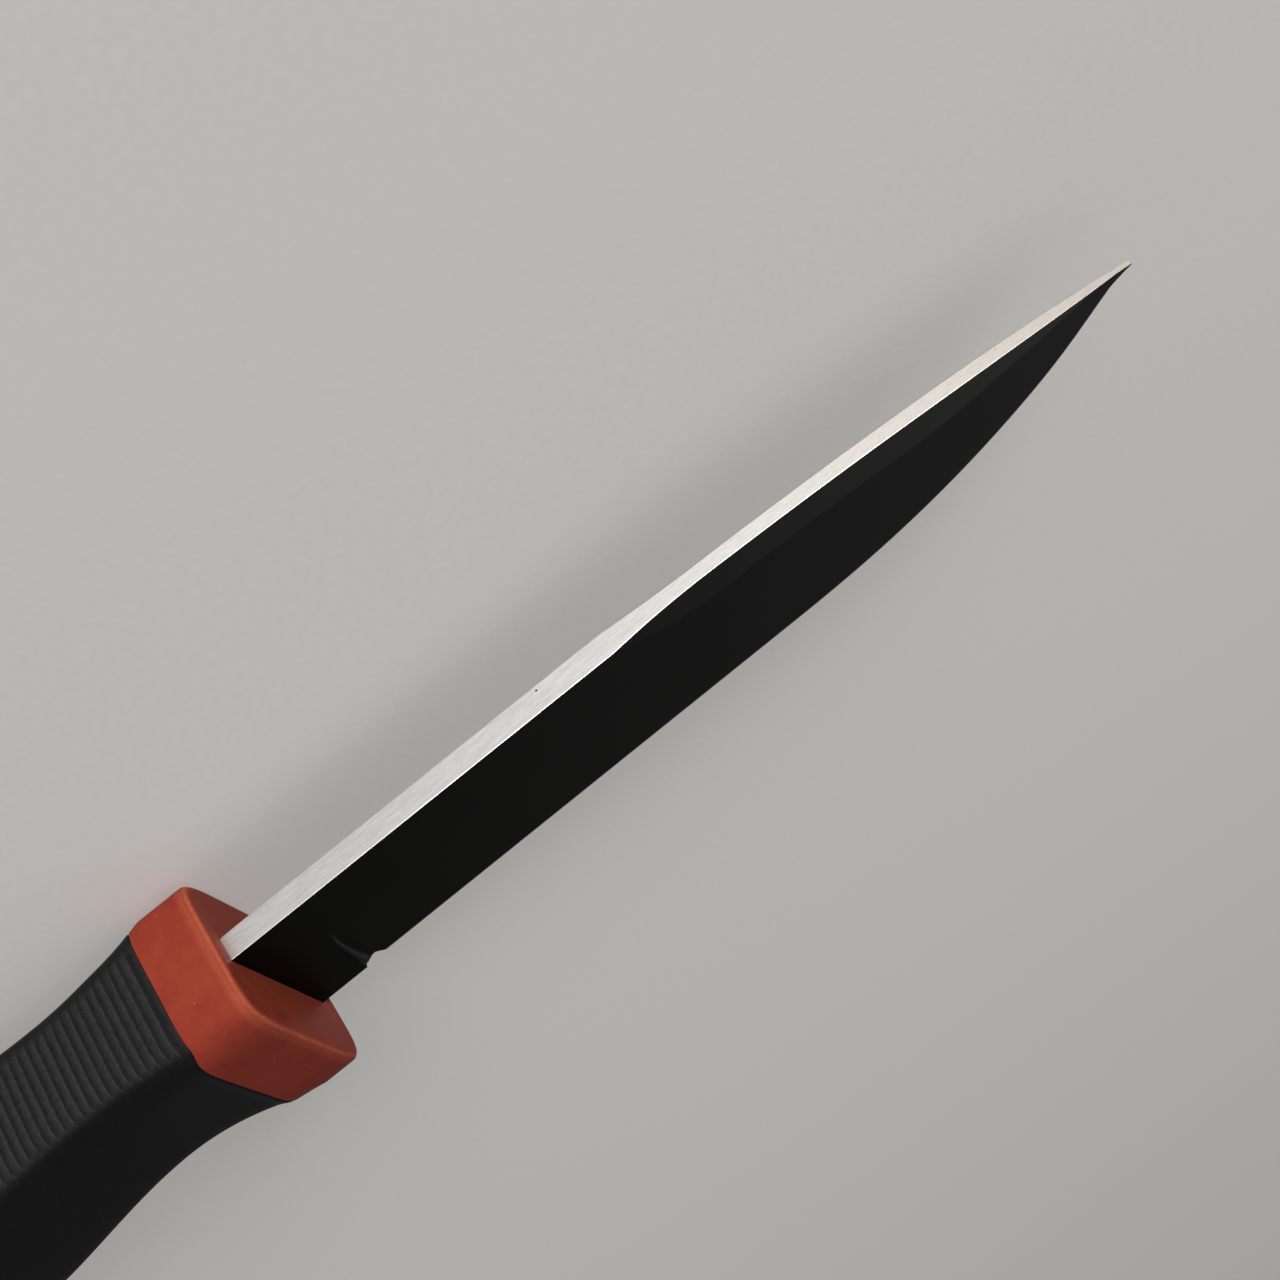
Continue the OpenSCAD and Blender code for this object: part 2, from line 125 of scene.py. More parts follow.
def skin(name, rings, wrap=False, sharp_columns=(), sharp_rings=()):
    """Makes an object from an array of rings by points by XYZ, in millimetres on the knife's axis."""
    count, size = rings.shape[:2]
    points = rings.reshape(-1, 3) + PLACE
    quads = ring_faces(count, size, wrap)
    fans = np.empty((0, 3), int)
    if not wrap:
        poles = np.stack([points[:size].mean(axis=0), points[-size:].mean(axis=0)])
        first, last = len(points), len(points) + 1
        points = np.vstack([points, poles])
        k = np.arange(size)
        k_next = (k + 1) % size
        end = (count - 1) * size
        fans = np.vstack([np.stack([np.full(size, first), k_next, k], axis=1),
                          np.stack([np.full(size, last), end + k, end + k_next], axis=1)])
    triangles = np.vstack([quads[:, :3], quads[:, [0, 2, 3]], fans])
    volume = signed_volume(points, triangles)
    if volume < 0:
        quads, fans = quads[:, ::-1], fans[:, ::-1]
    mesh = bpy.data.meshes.new(name)
    mesh.from_pydata(points * MM, [], quads.tolist() + fans.tolist())
    mesh.shade_smooth()
    ends = np.empty(len(mesh.edges) * 2, dtype=np.int32)
    mesh.edges.foreach_get("vertices", ends)
    ends = ends.reshape(-1, 2)
    ring, column = ends // size, ends % size
    along_column = (column[:, 0] == column[:, 1]) & np.isin(column[:, 0], sharp_columns)
    along_ring = (ring[:, 0] == ring[:, 1]) & np.isin(ring[:, 0], sharp_rings)
    mesh.attributes.new("sharp_edge", "BOOLEAN", "EDGE").data.foreach_set(
        "value", along_column | along_ring)
    piece = bpy.data.objects.new(name, mesh)
    bpy.context.scene.collection.objects.link(piece)
    print(f"{name}: {len(points)} points, {len(triangles)} triangles, {abs(volume) / 1000:.2f} cm3")
    return piece


# %% [markdown]
# ## Node materials
#
# One function turns a hex colour, as a designer writes it, into the linear light that Blender mixes
# in. Another adds a node, sets its properties and fills its inputs, with a value or with a link, and
# every finish below is built with it.

# %% Colour and node helpers
def linear(hex_colour):
    """sRGB hex to linear: below 0.04045 divided by 12.92, above it ((c + 0.055) / 1.055) to the 2.4."""
    srgb = np.array([int(hex_colour[i:i + 2], 16) for i in (1, 3, 5)]) / 255
    light = np.where(srgb <= 0.04045, srgb / 12.92, ((srgb + 0.055) / 1.055) ** 2.4)
    return (*light.tolist(), 1.0)


def add(tree, kind, inputs=None, **settings):
    """Adds a shader node, sets its settings, and gives each input its link or its value. A value that
    is a hex colour is turned to linear light."""
    node = tree.nodes.new("ShaderNode" + kind)
    for name, value in settings.items():
        setattr(node, name, value)
    for name, value in (inputs or {}).items():
        if isinstance(value, bpy.types.NodeSocket):
            tree.links.new(value, node.inputs[name])
        else:
            node.inputs[name].default_value = linear(value) if isinstance(value, str) else value
    return node


def new_material(name):
    """An empty material and its tree, for a finish to fill."""
    material = bpy.data.materials.new(name)
    material.use_nodes = True
    material.node_tree.nodes.clear()
    return material, material.node_tree


# The sockets of a Mix node that blends two colours
FIRST, SECOND, MIXED = 6, 7, 2


def specked(tree, colour, place, spacing, radius, speck_colour):
    """Sprinkles round specks of a radius over a colour, one in each cube of the spacing, both in
    millimetres."""
    cells = add(tree, "TexVoronoi", {"Vector": place, "Scale": 1 / (spacing * MM)})
    inside = add(tree, "Math", {0: cells.outputs["Distance"], 1: radius / spacing}, operation="LESS_THAN")
    mix = add(tree, "Mix", {"Factor": inside.outputs["Value"], FIRST: colour, SECOND: speck_colour},
              data_type="RGBA")
    return mix.outputs[MIXED]


def store(piece, name, shares):
    """Stores one share from 0 to 1 per point of a skin, for a finish to follow. Its poles get 0."""
    values = np.zeros(len(piece.data.vertices), dtype=np.float32)
    values[:shares.size] = shares.ravel()
    piece.data.attributes.new(name, "FLOAT", "POINT").data.foreach_set("value", values)


print("the grey #808080 is", round(linear("#808080")[0], 3), "in linear light")

# %% [markdown]
# ## Steel, bare and blackened
#
# The blade is ground from stainless bar and blackened all over, which leaves a dark satin skin with
# hardly any colour. The spine is ground square again afterwards, so it alone is bare, bright steel.
# The belt leaves short scratches along the blade, one over the other. Steel has no grain of its own,
# so these scratches are all the eye has to go by: they are noise stretched along X, and they drive a
# little of the roughness, a little of the colour and a shallow bump. Where the skin stores painted
# light, the steel is painted brighter: a painted highlight along the rolled corners of the spine and
# down the plunge, and a painted lightening towards the tip. Where it stores straw, the steel has a
# faint straw tint, which a thin part takes on in the belt's heat.

# %% Steel finishes
STRAW = "#e2cfbc"


def belt_scratches(tree, place, spacing, stretch):
    """Noise in object space, of the spacing across the blade, and stretched along X."""
    across = 1 / (spacing * MM)
    scaled = add(tree, "Mapping", {"Vector": place, "Scale": (across / stretch, across, across)})
    return add(tree, "TexNoise", {"Vector": scaled.outputs["Vector"], "Scale": 1.0, "Detail": 4.0,
                                  "Roughness": 0.65}).outputs["Fac"]


def steel(name, dark, light, highlight_colour, roughness, scratches, scratch_depth, specks, spread=0.12, rim=1.0,
          across=0.0):
    """Ground steel: two near colours and a painted highlight colour, a roughness and how far the
    scratches spread it, their spacing, stretch and depth, and specks as specked() takes them. The
    highlight colour shows where the skin stores painted light. Rim is the strength of the mirror
    that a surface turns into at a glancing angle. Across is how far a highlight spreads across the
    scratches, from one side of the knife to the other."""
    material, tree = new_material(name)
    place = add(tree, "TexCoord").outputs["Object"]
    scratch = belt_scratches(tree, place, *scratches)
    streak = add(tree, "MapRange", {"Value": scratch, "From Min": 0.3, "From Max": 0.7}).outputs["Result"]
    mix = add(tree, "Mix", {"Factor": streak, FIRST: dark, SECOND: light}, data_type="RGBA")
    colour = specked(tree, mix.outputs[MIXED], place, *specks)
    # The straw tint, then the painted highlight colour, mixed in by the shares the skin stores
    for name_on_skin, tint in (("straw", STRAW), ("painted_light", highlight_colour)):
        share = add(tree, "Attribute", attribute_name=name_on_skin).outputs["Fac"]
        mix = add(tree, "Mix", {"Factor": share, FIRST: colour, SECOND: tint}, data_type="RGBA")
        colour = mix.outputs[MIXED]
    rough = add(tree, "MapRange", {"Value": scratch, "To Min": roughness + spread,
                                   "To Max": roughness - spread})
    bump = add(tree, "Bump", {"Height": scratch, "Distance": scratch_depth * MM, "Strength": 1.0})
    sideways = add(tree, "CombineXYZ", {"Z": 1.0})
    shader = add(tree, "BsdfPrincipled", {"Base Color": colour, "Metallic": 1.0,
                                          "Roughness": rough.outputs["Result"],
                                          "Specular Tint": (rim, rim, rim, 1.0),
                                          "Anisotropic": across, "Tangent": sideways.outputs["Vector"],
                                          "Normal": bump.outputs["Normal"]})
    add(tree, "OutputMaterial", {"Surface": shader.outputs["BSDF"]})
    return material


# Real scratches lie less than 0.05 mm apart, too fine for the render. They are drawn 0.1 to 0.2 mm
# apart, as coarse as they need to be to show.
# The third colour of each steel is its painted highlight colour
bare_steel = steel("belt ground stainless steel", "#d0d0d0", "#f0efed", "#ffffff", 0.48, (0.2, 12), 0.0006,
                   (4, 0.17, "#3c3a38"), spread=0.04, across=0.4)
black_steel = steel("blackened satin stainless steel", "#2b2b2a", "#30302f", "#5e5e5f", 0.42, (0.14, 30),
                    0.0012, (9, 0.09, "#9a9a98"), spread=0.05, rim=0.5)
stoned_steel = steel("stoned blackened stainless steel", "#1b1b1b", "#1f1f1f", "#797979", 0.44, (0.1, 30),
                     0.0015, (9, 0.09, "#9a9a98"), spread=0.05, rim=0.5)
turned_steel = steel("turned stainless steel", "#a9a8a6", "#cbc9c6", "#cbc9c6", 0.3, (0.16, 1), 0.002,
                     (4, 0.1, "#4a4846"))
ground_pin_steel = steel("centreless ground pin steel", "#9d9c9a", "#bdbbb8", "#bdbbb8", 0.28, (0.12, 1),
                         0.001, (4, 0.1, "#4a4846"))
for metal in (bare_steel, black_steel, stoned_steel, turned_steel, ground_pin_steel):
    print("steel:", metal.name)

# %% [markdown]
# ## The blade
#
# A knife maker grinds a blade by planes: a flat bar, a main grind that meets the edge bevel, and a
# swedge on each side of the clip. So the half thickness at any place along the blade and any height
# is just the smallest of three planes: the bar, the swedge and the main grind. At the heel the grind
# starts at the plunge, a quarter circle that the wheel leaves, which curls forward at its top.
# The skin is a grid of that function: stations along the blade, heights from spine to edge.

# %% Outline and planes of the blade
def power_curve(x, start, end, power):
    """A curve that leaves zero at start and reaches one at end, with a given power."""
    return np.clip((x - start) / (end - start), 0, 1) ** power


def spine_height(x):
    """Level from the heel to the clip, then down to the tip on a power curve."""
    return SPINE_Y - TIP_DROP * power_curve(x, CLIP_START, BLADE_LENGTH, CLIP_POWER)


# Places along the notch, and how far the edge has stepped down there
NOTCH_SHARES = np.array([0, 0.1, 0.2, 0.3, 0.55, 0.65, 0.92, 1])
STEP_SHARES = np.array([0, 0.34, 0.47, 0.5, 0.5, 0.56, 0.94, 1])


def edge_height(x):
    """The belly's power curve, stepped up to the heel over the notch. Towards the tip it turns up
    sooner, by the square of the way w along the last run, times 1 - w to the power 4."""
    ground = EDGE_Y + (TIP_Y - TIP_HEIGHT - EDGE_Y) * power_curve(x, BELLY_START, BLADE_LENGTH, BELLY_POWER)
    way = power_curve(x, BLADE_LENGTH - TIP_RUN, BLADE_LENGTH, 1)
    ground += TIP_UPTURN * way ** 2 * (1 - way ** 4)
    step = np.interp((x - RICASSO_LENGTH) / NOTCH_LENGTH, NOTCH_SHARES, STEP_SHARES)
    return HEEL_Y + (ground - HEEL_Y) * step


def land_half(x):
    """Half the width of the spine: cut down where the swedge enters, then a quarter ellipse to the
    tip, which ends in a small round nub."""
    cut = (BLADE_THICKNESS - SWEDGE_LAND) / 2 * ease_out((x - CLIP_START) / SWEDGE_ENTRY)
    taper = power_curve(x, BLADE_LENGTH - LAND_TAPER, BLADE_LENGTH, 1)
    nub = power_curve(x, BLADE_LENGTH - TIP_HALF, BLADE_LENGTH, 1)
    ellipse = (BLADE_THICKNESS / 2 - cut) * np.sqrt(1 - taper ** 2)
    return np.maximum(ellipse, TIP_HALF * np.sqrt(1 - nub ** 2))


GRIND_SLOPE = (BLADE_THICKNESS - EDGE_THICKNESS) / 2 / (BLADE_HEIGHT - BEVEL_HEIGHT - FLAT_HEIGHT)
SWEDGE_SLOPE = (BLADE_THICKNESS - SWEDGE_LAND) / 2 / SWEDGE_HEIGHT
EDGE_HALF, TIP_HALF, TIP_STOUT = 0.03, 0.42, 9.0
LEAST_BAND = 0.1
SPINE_ROLL, SPINE_CHAMFER = 0.05, 0.02
PLUNGE_CURL, PLUNGE_START = 1.5, 0.15
CURL_START, CURL_GROWTH, CURL_END, CURL_FADE = 2.0, 5.0, 28.0, 16.0


def plunge_lean(station, below):
    """How far forward a point lies for the plunge to curl forward, with the fourth power of the height,
    where it meets the flat. It fades out above that, and behind and in front of the plunge."""
    near = ease((station - CURL_START) / CURL_GROWTH) * ease((CURL_END - station) / CURL_FADE)
    rise = (BLADE_HEIGHT - np.maximum(below, FLAT_HEIGHT)) / (BLADE_HEIGHT - FLAT_HEIGHT)
    return (PLUNGE_START + PLUNGE_CURL * rise ** 4) * ease(below / FLAT_HEIGHT) * near


print("slope of the grind and of the swedge:", round(GRIND_SLOPE, 3), round(SWEDGE_SLOPE, 3))

# %% Grid of the blade
HEEL_STATIONS = [-SEAT_DEPTH, 0, 2, 4, 5, 6, 7, 7.9]
PLUNGE_STEPS, FLAT_STEPS, CLIP_STEPS = 25, 40, 240
# Points of the four bands from the spine down: swedge, flat, main grind, edge bevel
BAND_STEPS = [5, 8, 40, 3]


def blade_stations():
    """Close together at the plunge and the notch, and closer and closer towards the tip: the plunge
    steps by a cosine and the clip by a sine."""
    return np.unique(np.concatenate([
        HEEL_STATIONS,
        RICASSO_LENGTH + PLUNGE_LENGTH * (1 - np.cos(np.linspace(0, 1, PLUNGE_STEPS) * np.pi / 2)),
        RICASSO_LENGTH + NOTCH_LENGTH * NOTCH_SHARES,
        np.linspace(RICASSO_LENGTH + NOTCH_LENGTH, CLIP_START, FLAT_STEPS),
        CLIP_START + (BLADE_LENGTH - CLIP_START) * np.sin(np.linspace(0, np.pi / 2, CLIP_STEPS))]))


def blade_grid(stations):
    """Heights of each station's points on one side, and the half thickness there: the least of bar,
    swedge and grind. Bevel, roll and chamfer shrink with the blade towards the tip."""
    s = stations[:, None]
    top, edge = spine_height(s), edge_height(s)
    full = BLADE_THICKNESS / 2
    bevel = np.minimum(BEVEL_HEIGHT, (top - edge) / 4)
    shoulder = edge + bevel
    room = top - shoulder
    stout = ease((s - BLADE_LENGTH + TIP_STOUT) / TIP_STOUT)
    thin = EDGE_THICKNESS / 2 + (TIP_HALF - EDGE_THICKNESS / 2) * stout
    grind_at_top = thin + GRIND_SLOPE * room
    land = np.maximum(EDGE_HALF, np.minimum(land_half(s), grind_at_top))
    foot = np.minimum((full - land) / SWEDGE_SLOPE, (grind_at_top - land) / (SWEDGE_SLOPE + GRIND_SLOPE))
    foot = np.maximum(np.minimum(foot, room / 2), LEAST_BAND)
    flat = np.minimum(room - (full - EDGE_THICKNESS / 2) / GRIND_SLOPE, room - LEAST_BAND)
    flat = np.maximum(flat, foot + LEAST_BAND)
    roll = np.minimum(SPINE_ROLL, land / 25)
    bands = [top - roll - SPINE_CHAMFER, top - foot, top - flat, shoulder, edge]
    heights = [bands[i] + (bands[i + 1] - bands[i]) * np.linspace(0, 1, n, endpoint=False)
               for i, n in enumerate(BAND_STEPS)]
    y = np.hstack(heights + [edge])
    depth = np.sqrt(1 - np.clip(1 - (s - RICASSO_LENGTH) / PLUNGE_LENGTH, 0, 1) ** 2)
    swedge = land + SWEDGE_SLOPE * (top - y)
    grind = np.where(y >= shoulder, thin + GRIND_SLOPE * (y - shoulder),
                     EDGE_HALF + (thin - EDGE_HALF) * (y - edge) / bevel)
    ground = np.minimum(np.minimum(full, swedge), grind)
    half = full + (ground - full) * depth
    half = np.where(s > CLIP_START, np.minimum(ground, full), half)
    x = s + plunge_lean(s, top - y)
    return x, y, half, top, roll, land - np.minimum(SPINE_CHAMFER, land / 3)


stations = blade_stations()
side_x, side_y, side_half, spine_top, spine_roll, spine_half = blade_grid(stations)
band_starts = np.cumsum([0] + BAND_STEPS)
left = np.stack([side_x, side_y, -side_half], axis=-1)
right = np.stack([side_x, side_y, side_half], axis=-1)[:, ::-1]
# Places across the spine, as shares of its half width, and the share of the roll that each drops
across = np.array([1, 0.96, 0.93, 0.9, -0.9, -0.93, -0.96, -1])
rolled = np.array([1, 0.35, 0, 0, 0, 0, 0.35, 1])
spine = np.stack([np.repeat(stations[:, None], len(across), axis=1), spine_top - spine_roll * rolled,
                  spine_half * across], axis=-1)
blade_rings = np.concatenate([left, right, spine], axis=1)
print("blade grid:", blade_rings.shape[:2], "height at 40 mm:",
      round(float(np.ptp(blade_rings[np.searchsorted(stations, 40)][:, 1])), 2), "mm")

# %% [markdown]
# The hidden tang is one forging with the blade, so it is the same skin carried on backwards: the
# heel's section is scaled down to the tang's, run back to the tang's end, and turned into the round
# stud that takes the nut.

# %% Tang and stud, then the whole forging
STUD_CHAMFER, SHOULDER_RUN = 0.4, 2.0
heel = blade_rings[0]


def tang_ring(x, height):
    """The heel's rectangle, scaled about the tang's middle to a height and to the tang's thickness."""
    y = TANG_Y + (heel[:, 1] - TANG_Y) * height / RICASSO_HEIGHT
    z = heel[:, 2] * TANG_THICKNESS / BLADE_THICKNESS
    return np.stack([np.full(len(heel), x), y, z], axis=1)


def stud_ring(x, radius):
    """A circle whose points follow each other as the heel's do: down the left side, up the right."""
    turn = np.pi / 2 + 2 * np.pi * (np.arange(len(heel)) + len(across) / 2) / len(heel)
    y, z = TANG_Y + radius * np.sin(turn), radius * np.cos(turn)
    return np.stack([np.full(len(heel), x), y, z], axis=1)


tang_rear = -BOLSTER_LENGTH - TANG_LENGTH
stud_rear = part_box("blade")[0][0] / MM - PLACE[0]
tang = np.stack([stud_ring(stud_rear, STUD_DIAMETER / 2 - STUD_CHAMFER),
                 stud_ring(stud_rear + STUD_CHAMFER, STUD_DIAMETER / 2),
                 stud_ring(tang_rear, STUD_DIAMETER / 2),
                 tang_ring(tang_rear, TANG_END_HEIGHT),
                 tang_ring(-SEAT_DEPTH - SHOULDER_RUN, TANG_HEIGHT),
                 tang_ring(-SEAT_DEPTH, TANG_HEIGHT)])
blade_rings = np.concatenate([tang, blade_rings])
side_points = side_y.shape[1]
creases = np.concatenate([band_starts, 2 * side_points - 1 - band_starts, [2 * side_points, len(heel) - 1]])
plunge_ring = len(tang) + int(np.searchsorted(stations, RICASSO_LENGTH))
blade = skin("ground_blade", blade_rings, sharp_columns=creases,
             sharp_rings=[0, 1, 2, 3, 5, len(tang), plunge_ring])

# %% [markdown]
# Only the spine is bare: the land between the two hair-fine chamfers at the end of each ring. The
# belt rolls its corners, and they carry a painted highlight, most of all near the heel. A painted
# highlight runs down the plunge too, a bell curve that widens towards the edge. The blackened skin is
# painted lighter, a little at the heel and more and more towards the tip. The swedge is ground on a
# finer stone before the blade is blackened, and its finish takes more of that painted lightening: its
# two bands look a shade lighter than the flats, most of all near the tip. The straw tint of the
# belt's heat shows on the spine alone, from where the clip starts to thin it.

# %% Finish of the blade
# Painted highlight down the plunge: its place, width, widening towards the edge, and fade at its top
PLUNGE_HIGHLIGHT_PLACE, PLUNGE_HIGHLIGHT_WIDTH, PLUNGE_HIGHLIGHT_SPREAD, PLUNGE_HIGHLIGHT_FADE = 0.4, 0.06, 0.16, 0.25
# The blackened skin is painted lighter towards the tip, up to this share
TIP_LIGHTENING, LIGHTENING_POWER = 0.65, 1.3
# Painted highlight on the spine's rolled corners, and how much of it fades over a run from the heel
CORNER_LOSS, CORNER_RUN = 0.75, 50.0
STRAW_SHARE, STRAW_LEAD, STRAW_RUN = 0.4, 5.0, 75.0
for finish in (black_steel, bare_steel, stoned_steel):
    blade.data.materials.append(finish)
ring_size = blade_rings.shape[1]
face_column = np.arange(len(blade.data.polygons)) % ring_size
on_skin = np.arange(len(blade.data.polygons)) < (len(blade_rings) - 1) * ring_size
is_spine = on_skin & (face_column >= 2 * side_points) & (face_column < ring_size - 1)
from_spine = np.minimum(face_column, 2 * side_points - 2 - face_column)
clip_ring = len(tang) + int(np.searchsorted(stations, CLIP_START))
past_clip = np.arange(len(blade.data.polygons)) // ring_size >= clip_ring
is_swedge = on_skin & past_clip & (from_spine < band_starts[1]) & ~is_spine
blade.data.polygons.foreach_set("material_index", (is_spine + 2 * is_swedge).astype(np.int32))
deep = np.clip((spine_top - side_y - FLAT_HEIGHT) / (RICASSO_HEIGHT - FLAT_HEIGHT), 0, 1)
along = (stations[:, None] - RICASSO_LENGTH) / PLUNGE_LENGTH
# A painted highlight down the plunge, and a painted lightening towards the tip
plunge_highlight = np.exp(-((along - PLUNGE_HIGHLIGHT_PLACE) / (PLUNGE_HIGHLIGHT_WIDTH + PLUNGE_HIGHLIGHT_SPREAD * deep)) ** 2) * ease(deep / PLUNGE_HIGHLIGHT_FADE)
tip_lightening = TIP_LIGHTENING * np.clip(stations / BLADE_LENGTH, 0, 1)[:, None] ** LIGHTENING_POWER
side_painted_light = np.maximum(plunge_highlight, tip_lightening)
# A painted highlight along the rolled corners of the spine, strongest at the heel
corners = rolled * (1 - CORNER_LOSS * ease(stations / CORNER_RUN))[:, None]
blade_painted_light = np.concatenate([side_painted_light, side_painted_light[:, ::-1], corners], axis=1)
store(blade, "painted_light", np.vstack([np.zeros((len(tang), ring_size)), blade_painted_light]))
straw = STRAW_SHARE * np.clip((stations - CLIP_START + STRAW_LEAD) / STRAW_RUN, 0, 1)
blade_straw = np.zeros((len(blade_rings), ring_size))
blade_straw[len(tang):, 2 * side_points:] = straw[:, None]
store(blade, "straw", blade_straw)
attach(blade, "root")
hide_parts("blade")
print("bare faces:", int(is_spine.sum()), "swedge faces:", int(is_swedge.sum()))

# %% [markdown]
# ## The handle's oval
#
# Bolster, grip and butt share one section: a superellipse of power 6, a rectangle with soft corners.
# In polar form each coordinate is the reach times the cube root of a sine or cosine. The reach
# changes along the grip: a hollow for the index finger that starts in the bolster already, a palm
# swell, a hollow for the little finger, and back out to the butt.

# %% Reach of the handle, and rings of it
PLACES = GRIP_LENGTH * np.array([0, 0.18, 0.52, 0.84, 1])
HOLLOW_PLACES = np.array([-GUARD_RUN, *(GRIP_LENGTH * np.array([0.14, 0.5, 0.84, 1]))])
HALF_HEIGHT = BOLSTER_HEIGHT / 2
SEAM_FORWARD, SEAM_REARWARD, SEAM_FADE, SEAM_TURN = 0.2, 0.8, 3.0, 0.55
LEFT_STEP = 0.6
SIDE_REACH = np.array([BOLSTER_WIDTH, 19.2, 22.8, 20.8, BUTT_WIDTH]) / 2
BACK_REACH = HALF_HEIGHT - np.array([0, 0.8, 0.9, 1, 0])
BELLY_REACH = HALF_HEIGHT - np.array([0, 5.2, 0, 2, 0])


def reach_at(x, reaches, places=PLACES):
    """Between the five places the reach follows a half cosine, and the first part starts steep."""
    behind = -BOLSTER_LENGTH - x
    part = np.clip(np.searchsorted(places, behind, side="right") - 1, 0, len(places) - 2)
    u = (behind - places[part]) / (places[part + 1] - places[part])
    return reaches[part] + (reaches[part + 1] - reaches[part]) * np.where(part == 0, ease_out(u), ease(u))


def oval_rings(x, inset, points):
    """Rings of the handle's section at places x, each drawn in by its inset."""
    x, inset = np.broadcast_arrays(np.atleast_1d(np.asarray(x, float))[:, None],
                                   np.atleast_1d(np.asarray(inset, float))[:, None])
    turn = 2 * np.pi * np.arange(points) / points
    sine, cosine = np.sin(turn), np.cos(turn)
    tall = np.where(sine >= 0, reach_at(x, BACK_REACH), reach_at(x, BELLY_REACH, HOLLOW_PLACES)) - inset
    wide = reach_at(x, SIDE_REACH) - inset
    y = tall * np.sign(sine) * np.abs(sine) ** (2 / OVAL_POWER)
    z = wide * np.sign(cosine) * np.abs(cosine) ** (2 / OVAL_POWER)
    return np.stack([np.broadcast_to(x, y.shape), y, z], axis=-1)


def bar_ring(x, height, width, corner, points):
    """A rectangle round the tang's middle, with round corners: from the nearest point of the inner
    rectangle, the corner's radius outwards."""
    turn = 2 * np.pi * np.arange(points) / points
    direction = np.stack([np.sin(turn), np.cos(turn)], axis=1)
    box = np.array([height, width]) / 2
    on_box = direction / np.abs(direction).max(axis=1, keepdims=True) * box
    inner = np.clip(on_box, -(box - corner), box - corner)
    out = on_box - inner
    out = out / np.maximum(np.linalg.norm(out, axis=1, keepdims=True), 1e-9)
    y, z = (inner + out * corner).T
    return np.stack([np.full(points, float(x)), y + TANG_Y, z], axis=1)


def round_ring(x, radius, points):
    """A circle round the tang's middle."""
    turn = 2 * np.pi * np.arange(points) / points
    y, z = TANG_Y + radius * np.sin(turn), radius * np.cos(turn)
    return np.stack([np.full(points, float(x)), y, z], axis=1)


def seam_shift(points, depth):
    """How far the seam between bolster and grip bows: forward on the back, rearward on the sides."""
    side = np.abs(np.cos(2 * np.pi * np.arange(points) / points))
    bow = SEAM_FORWARD - (SEAM_FORWARD + SEAM_REARWARD) * ease((side - SEAM_TURN) / (1 - SEAM_TURN))
    return bow * (1 - ease(np.asarray(depth, float)[:, None] / SEAM_FADE))


def left_step(rings, depth, run):
    """How far the left side stands in at the seam: a step that eases out over a run of length."""
    left = np.clip(-rings[..., 2] / np.abs(rings[..., 2]).max(axis=1, keepdims=True), 0, 1)
    return LEFT_STEP * (1 - ease(np.asarray(depth, float) / run))[:, None] * left ** 2


def rounded_end(x, radius, steps, facing):
    """Places and insets of a rounded end: a quarter circle from the side to the end face."""
    a = np.linspace(0, np.pi / 2, steps)
    return x - facing * radius * (1 - np.sin(a)), radius * (1 - np.cos(a))


for place in PLACES:
    section = oval_rings(-BOLSTER_LENGTH - place, 0, 64)[0]
    print("grip", place.round(1), "mm behind the bolster:", np.ptp(section, axis=0)[1:].round(1), "mm")

# %% [markdown]
# ## The bolster
#
# It is one moulding of brick red nylon with a pocket for the heel of the blade. The skin starts on
# the rear face, goes over the outside, round the soft front edge, across the front face, down into
# the pocket and out through the tang's channel, and meets its own first ring. The seam with the
# grip isn't quite straight: it bows a little forward on the back and rearward on the sides. On the
# left both surfaces stand in a little where they meet.

# %% Skin of the bolster
BOLSTER_POINTS, SEAM_STEPS, FRONT_STEPS = 256, 5, 17
SEAM_RADIUS, BOLSTER_STEP_RUN = 0.25, 2.0
POCKET_GAP, POCKET_CORNER, CORE_GAP = 0.15, 0.05, 0.1
# Places along the pocket's soft rim, and how much wider it is there
POCKET_RIM = ((0, 0.12), (-0.035, 0.035), (-0.12, 0))
rear_x, rear_inset = rounded_end(-BOLSTER_LENGTH, SEAM_RADIUS, SEAM_STEPS, -1)
front_x, front_inset = rounded_end(0, FRONT_RADIUS, FRONT_STEPS, 1)
# Rings between the two rounded ends, close together near the seam
plain_x = np.concatenate([np.linspace(-9.6, -7.6, 6), np.linspace(-7, -2, 6)])
outside_x = np.concatenate([rear_x[::-1], plain_x, front_x])
outside_inset = np.concatenate([rear_inset[::-1], np.zeros(len(plain_x)), front_inset])
outside = oval_rings(outside_x, outside_inset, BOLSTER_POINTS)
pocket_size = (RICASSO_HEIGHT + 2 * POCKET_GAP, BLADE_THICKNESS + 2 * POCKET_GAP)
channel_size = (TANG_HEIGHT + 2 * POCKET_GAP, TANG_THICKNESS + 2 * POCKET_GAP)
core_bore = (CORE_HEIGHT + 2 * CORE_GAP, CORE_THICKNESS + 2 * CORE_GAP, CORE_CORNER + CORE_GAP)
pocket = [bar_ring(x, pocket_size[0] + 2 * grow, pocket_size[1] + 2 * grow, POCKET_CORNER + grow,
                   BOLSTER_POINTS)
          for x, grow in (*POCKET_RIM, (-SEAT_DEPTH, 0))]
channel = [bar_ring(x, *channel_size, POCKET_CORNER, BOLSTER_POINTS)
           for x in (-SEAT_DEPTH, -BOLSTER_LENGTH)]
core_face = [bar_ring(-BOLSTER_LENGTH, *core_bore, BOLSTER_POINTS)]
seam_depth = outside[:, 0, 0] + BOLSTER_LENGTH
outside[..., 0] += seam_shift(BOLSTER_POINTS, seam_depth)
outside[..., 2] += left_step(outside, seam_depth, BOLSTER_STEP_RUN)
bolster_rings = np.concatenate([outside, pocket, channel, core_face])
pocket_floor = len(outside) + len(POCKET_RIM)
bolster = skin("moulded_bolster", bolster_rings, wrap=True,
               sharp_rings=[0, pocket_floor, pocket_floor + 1, pocket_floor + 2])

